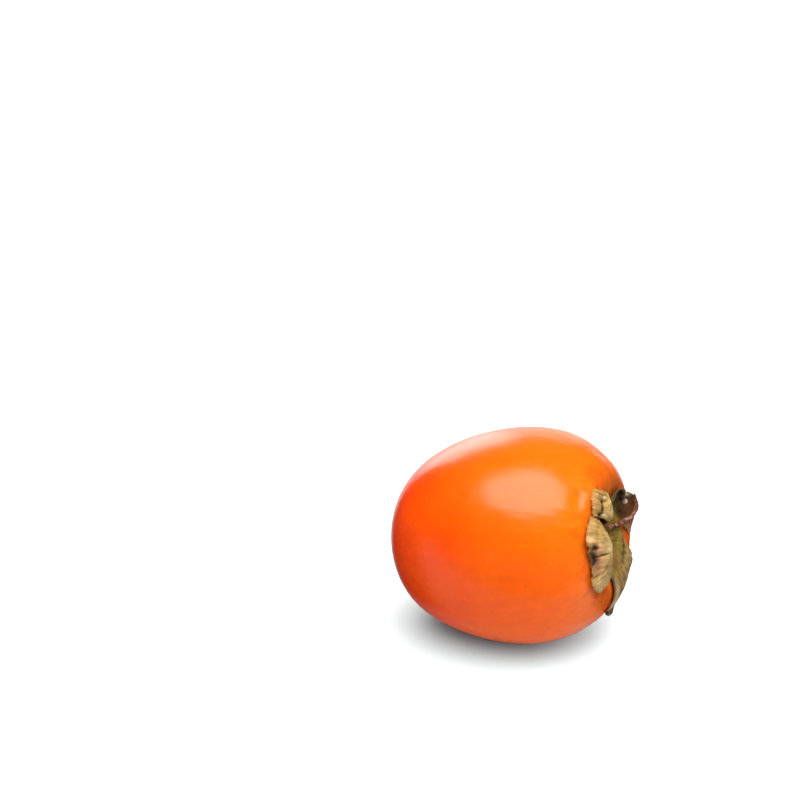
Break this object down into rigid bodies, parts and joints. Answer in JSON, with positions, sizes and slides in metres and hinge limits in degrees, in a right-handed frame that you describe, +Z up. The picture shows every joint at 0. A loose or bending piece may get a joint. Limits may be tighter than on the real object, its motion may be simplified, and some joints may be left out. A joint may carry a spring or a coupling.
{
  "type": "persimmon",
  "caption": "Ripe whole persimmon lying on its side, glossy orange skin, slightly four-sided, with a dried lobed calyx and a cut stem stub at one end.",
  "frame": {"origin": "middle of the small flat spot under the fruit that it rests on", "axes": "+Z up, away from the resting surface; +X along the fruit towards the calyx; -Y the side the fruit is usually seen from"},
  "size_m": [0.0841, 0.0772, 0.0703],
  "materials": {
    "skin": "waxy glossy fruit skin, yellow-orange near the calyx to red-orange at the blossom end",
    "dry_sepal": "dry matt olive-tan leaf tissue with veins, cracks and dark edges",
    "dry_sepal_brown": "dry leaf tissue, dark olive inside with a rolled red-brown rim",
    "calyx_disc": "dry fleshy tissue, orange-brown",
    "cut_stem": "dry grey-brown stalk with a pale cut end",
    "dried_style": "dark dry remnant"
  },
  "bodies": {
    "root": {"fruit_body": "skin", "style_tip": "dried_style", "calyx_disc": "calyx_disc", "stem_stub": "cut_stem", "sepal_near_lower": "dry_sepal", "sepal_near_upper": "dry_sepal", "sepal_far_upper": "dry_sepal_brown", "sepal_far_lower": "dry_sepal"}
  },
  "joints": []
}
